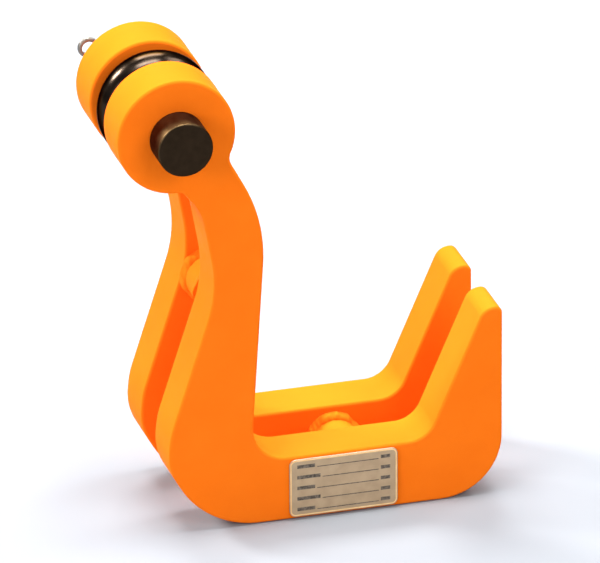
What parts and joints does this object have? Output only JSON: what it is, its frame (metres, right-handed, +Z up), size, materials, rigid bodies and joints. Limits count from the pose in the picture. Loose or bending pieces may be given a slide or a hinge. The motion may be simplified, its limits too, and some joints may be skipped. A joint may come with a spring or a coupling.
{
  "type": "beam clamp",
  "caption": "Hooked lifting clamp: paired C-shaped plates on welded spacer bars, with a load pin and crowned roller between their eyes and a blank rating plate below the jaw.",
  "frame": {"origin": "on the surface the clamp stands on, under the middle of its bounding box", "axes": "+Z up from the flat base to the eyes, +X from the eyes towards the jaw's tooth, +Y from the front plate to the rear plate, along the load pin from its head to its nut"},
  "size_m": [0.1807, 0.11, 0.2245],
  "materials": {
    "orange_paint": "smooth orange powder coat, semi-gloss",
    "dark_pin_steel": "blackened steel, oiled",
    "polished_roller_steel": "dark hardened steel, polished",
    "zinc_plate": "zinc plated, satin",
    "bronze": "sintered bronze, matt",
    "rating_label": "thin anodised plate, satin, blank"
  },
  "bodies": {
    "clamp": {"front_plate": "orange_paint", "rear_plate": "orange_paint", "arm_spacer": "orange_paint", "arm_spacer_weld_front": "orange_paint", "arm_spacer_weld_rear": "orange_paint", "base_spacer": "orange_paint", "base_spacer_weld_front": "orange_paint", "base_spacer_weld_rear": "orange_paint", "rating_plate": "rating_label"},
    "pin": {"load_pin": "dark_pin_steel", "washer": "zinc_plate", "castle_nut": "zinc_plate", "split_pin": "zinc_plate"},
    "roller_set": {"roller": "polished_roller_steel", "roller_bush": "bronze"}
  },
  "joints": [
    {"name": "pin_turn", "type": "hinge", "parent": "clamp", "child": "pin", "pos_m": [-0.06285, -0.0035, 0.197], "axis": [0, 1, 0], "continuous": true},
    {"name": "roller_spin", "type": "hinge", "parent": "pin", "child": "roller_set", "pos_m": [-0.06285, -0.0035, 0.197], "axis": [0, 1, 0], "continuous": true}
  ]
}
